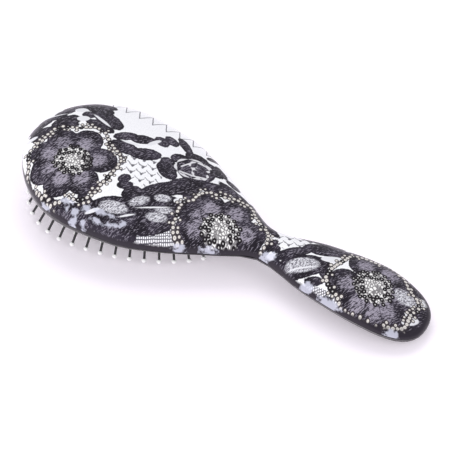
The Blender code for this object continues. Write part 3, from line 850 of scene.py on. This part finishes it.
DARK_PLASTIC = plain_material("dark_plastic", (0.014, 0.011, 0.015), 0.28, 0.05, 3.0, 0.3)
PLATE_PLASTIC = plain_material("plate_plastic", (0.03, 0.03, 0.033), 0.45, 0.08, 2.0)
RUBBER = plain_material("cushion_rubber", (0.012, 0.012, 0.013), 0.48, 0.12, 0.8)
NYLON = plain_material("pin_nylon", (0.010, 0.010, 0.011), 0.3, 0.08, 0.6)
BALL_WHITE = plain_material("ball_white", (0.95, 0.95, 0.94), 0.35, 0.03, 0.5, 0.3)

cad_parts["front_shell"].data.materials.clear()
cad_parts["front_shell"].data.materials.append(DARK_PLASTIC)
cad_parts["backing_plate"].data.materials.clear()
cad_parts["backing_plate"].data.materials.append(PLATE_PLASTIC)


# ---------------------------------------------------------------- cushion and pins


def outline_points(inset, v):
    """Points of the opening's outline, moved in by inset, at an array of turns."""
    turns, where = np.unique(v, return_inverse=True)
    outline = opening_outline(inset)
    return np.array([outline(turn) for turn in turns])[where]


def make_cushion(pins):
    """The domed rubber with its flange and the collars that grip the pins."""
    seat = WALL + GAP
    steps = [(-FLANGE_REACH, seat + PAD_THICKNESS), (-FLANGE_REACH, seat)]
    steps += [(GAP + 0.2, seat), (GAP, seat - 0.3)]
    for share in np.linspace(0, 1, 22) ** 1.15:
        inset = GAP + (OPENING_HALF * 0.86 - GAP) * share
        steps.append((inset, -dome_drop(inset)))

    def cushion_surface(u, v):
        row = np.rint(u * (len(steps) - 1)).astype(int)
        x, y, z = np.zeros(u.shape), np.zeros(u.shape), np.zeros(u.shape)
        for i, (inset, height) in enumerate(steps):
            here = row == i
            points = outline_points(inset, v[here] % 1.0)
            x[here], y[here], z[here] = points[:, 0], points[:, 1], height
        return x, y, z

    bm = surface(len(steps) - 1, CUSHION_COLUMNS, cushion_surface)
    rims = [edge for edge in bm.edges if edge.is_boundary]
    bmesh.ops.holes_fill(bm, edges=rims, sides=0)
    for base, direction in pins:
        turn = direction.to_track_quat("Z", "Y").to_matrix().to_4x4()
        bmesh.ops.create_cone(
            bm, cap_ends=True, segments=PIN_SIDES,
            radius1=COLLAR_ROOT_RADIUS, radius2=COLLAR_TIP_RADIUS, depth=COLLAR_HEIGHT,
            matrix=Matrix.Translation(base + direction * COLLAR_STANDS_OUT) @ turn,
        )
    bmesh.ops.transform(bm, matrix=FACE_FRAME, verts=bm.verts)
    return finished(bm, "cushion_dome", RUBBER)


def make_strip(name, pins):
    """One carrier strip with its tapered pins, and the balls on their ends."""
    shafts = bmesh.new()
    balls = bmesh.new()
    behind = PAD_THICKNESS + STRIP_GAP + STRIP_THICKNESS / 2
    roots = []
    for base, direction in pins:
        turn = direction.to_track_quat("Z", "Y").to_matrix().to_4x4()
        root = base - direction * (behind / -direction.z)
        reach = (base - root).length + pin_reach(base, direction)
        bmesh.ops.create_cone(
            shafts, cap_ends=True, segments=PIN_SIDES,
            radius1=PIN_ROOT_RADIUS, radius2=PIN_TIP_RADIUS, depth=reach,
            matrix=Matrix.Translation(root + direction * (reach / 2)) @ turn,
        )
        bmesh.ops.create_uvsphere(
            balls, u_segments=18, v_segments=12, radius=BALL_RADIUS,
            matrix=Matrix.Translation(root + direction * reach) @ turn,
        )
        roots.append(root)
    for a, b in zip(roots, roots[1:]):
        turn = (b - a).to_track_quat("X", "Z").to_matrix().to_4x4()
        length = (b - a).length + STRIP_OVERLAP
        size = Matrix.Diagonal((length, STRIP_WIDTH, STRIP_THICKNESS, 1))
        middle = Matrix.Translation((a + b) / 2)
        bmesh.ops.create_cube(shafts, size=1, matrix=middle @ turn @ size)
    for part in (shafts, balls):
        bmesh.ops.transform(part, matrix=FACE_FRAME, verts=part.verts)
    strip = finished(shafts, name.replace("_pin_strip_", "_nylon_pins_"), NYLON)
    tips = finished(balls, name.replace("_pin_strip_", "_ball_tips_"), BALL_WHITE)
    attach(strip, name)
    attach(tips, name)
    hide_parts(name)


every_pin = []
for ring, (ring_name, strip_count) in enumerate(RINGS):
    pins = ring_pins(ring)
    every_pin += pins
    for i in range(strip_count):
        first = round(len(pins) * i / strip_count)
        last = round(len(pins) * (i + 1) / strip_count)
        make_strip(f"{ring_name}_pin_strip_{i + 1}", pins[first:last])

cushion = make_cushion(every_pin)
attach(cushion, "body")
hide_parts("cushion_pad")


# ---------------------------------------------------------------- floor, light and camera


FLOOR_HALF_SIZE = 3000.0
CAMERA_LENS = 137.55
CAMERA_PLACE = (0.2963, -0.5017, 0.6174)
CAMERA_AIM = (-0.0071, 0.01439, 0.0)


def make_floor():
    bm = bmesh.new()
    bmesh.ops.create_grid(bm, x_segments=1, y_segments=1, size=FLOOR_HALF_SIZE)
    build = Material("studio_floor")
    build.set(Base_Color=(0.93, 0.885, 0.94, 1.0), Roughness=0.9, Specular_IOR_Level=0.1)
    build.set(Emission_Color=(1.0, 0.93, 1.0, 1.0), Emission_Strength=0.26)
    floor = finished(bm, "studio_floor", build.material, smooth=False)


def area_light(name, place, target, size, power):
    lamp = bpy.data.lights.new(name, "AREA")
    lamp.shape = "RECTANGLE"
    lamp.size, lamp.size_y = size
    lamp.energy = power
    obj = bpy.data.objects.new(name, lamp)
    obj.location = place
    aim = Vector(target) - Vector(place)
    obj.rotation_euler = aim.to_track_quat("-Z", "Y").to_euler()
    obj.visible_glossy = False
    bpy.context.scene.collection.objects.link(obj)


def studio():
    world = bpy.data.worlds.new("studio")
    world.use_nodes = True
    background = world.node_tree.nodes["Background"]
    background.inputs["Color"].default_value = (0.95, 0.95, 1.0, 1.0)
    background.inputs["Strength"].default_value = 0.62
    bpy.context.scene.world = world
    area_light("key_softbox", (-0.45, 0.55, 1.1), (0, 0, 0), (1.0, 0.7), 6.0)
    area_light("low_softbox", (-0.35, -0.75, 0.22), (-0.05, 0, 0.01), (0.7, 0.3), 3.0)
    area_light("fill_softbox", (0.9, -0.3, 0.8), (0, 0, 0), (0.8, 0.8), 3.0)
    bpy.context.scene.view_settings.view_transform = "Standard"
    bpy.context.scene.view_settings.look = "None"


def place_camera():
    data = bpy.data.cameras.new("camera")
    data.lens = CAMERA_LENS
    data.sensor_width = 36.0
    camera = bpy.data.objects.new("camera", data)
    camera.location = CAMERA_PLACE
    aim = Vector(CAMERA_AIM) - camera.location
    camera.rotation_euler = aim.to_track_quat("-Z", "Y").to_euler()
    bpy.context.scene.collection.objects.link(camera)
    bpy.context.scene.camera = camera


make_floor()
studio()
place_camera()
